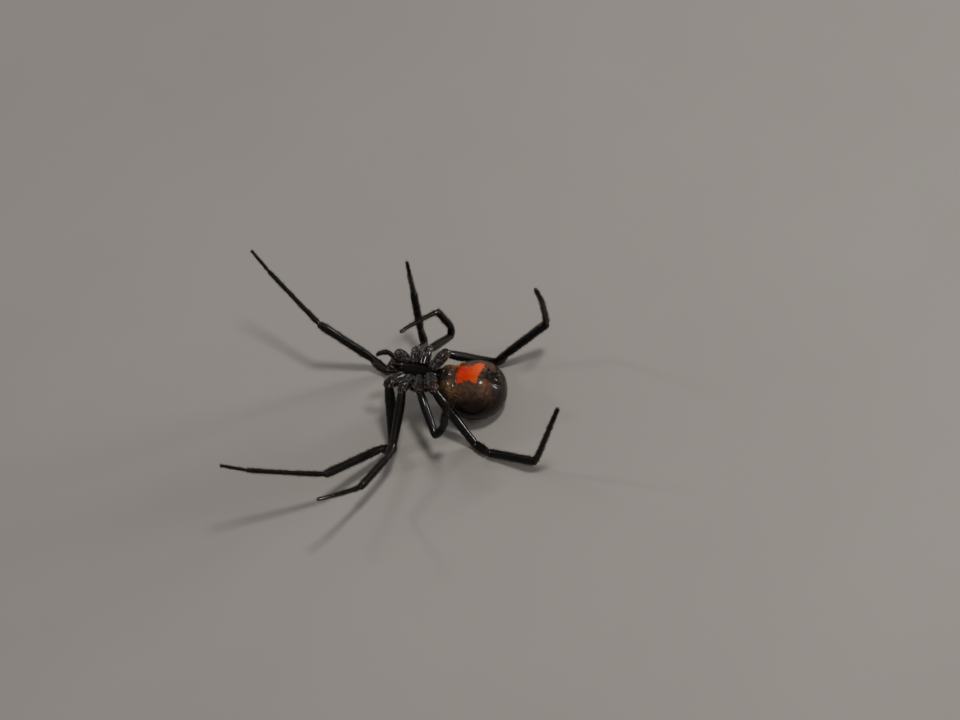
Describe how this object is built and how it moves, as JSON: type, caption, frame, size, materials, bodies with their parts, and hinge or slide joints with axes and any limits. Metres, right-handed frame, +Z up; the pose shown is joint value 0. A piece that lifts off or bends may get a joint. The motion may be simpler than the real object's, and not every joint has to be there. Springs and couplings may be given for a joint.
{
  "type": "female black widow spider model",
  "caption": "Still life-size widow spider lying belly up with round abdomen and long legs raised, for display.",
  "frame": {"origin": "under the middle of the box that holds the spider, at the floor that it lies on", "axes": "-X towards the head, +Y the spider's left side, +Z up, which is the side its belly faces"},
  "size_m": [0.0338, 0.0246, 0.0124],
  "materials": {
    "shell": "gloss black",
    "abdomen": "gloss black, brown where light comes through, with a red hourglass on the belly",
    "leg": "gloss black with short dark bristles"
  },
  "bodies": {
    "root": {"cephalothorax": "shell", "abdomen": "abdomen", "chelicera_left": "shell", "chelicera_right": "shell", "feeler_left": "leg", "feeler_right": "leg", "leg_left_1_femur": "leg", "leg_left_1_tibia": "leg", "leg_left_1_metatarsus": "leg", "leg_left_2_femur": "leg", "leg_left_2_tibia": "leg", "leg_left_2_metatarsus": "leg", "leg_left_3_femur": "leg", "leg_left_3_tibia": "leg", "leg_left_3_metatarsus": "leg", "leg_left_4_femur": "leg", "leg_left_4_tibia": "leg", "leg_left_4_metatarsus": "leg", "leg_right_1_femur": "leg", "leg_right_1_tibia": "leg", "leg_right_1_metatarsus": "leg", "leg_right_2_femur": "leg", "leg_right_2_tibia": "leg", "leg_right_2_metatarsus": "leg", "leg_right_3_femur": "leg", "leg_right_3_tibia": "leg", "leg_right_3_metatarsus": "leg", "leg_right_4_femur": "leg", "leg_right_4_tibia": "leg", "leg_right_4_metatarsus": "leg"}
  },
  "joints": []
}
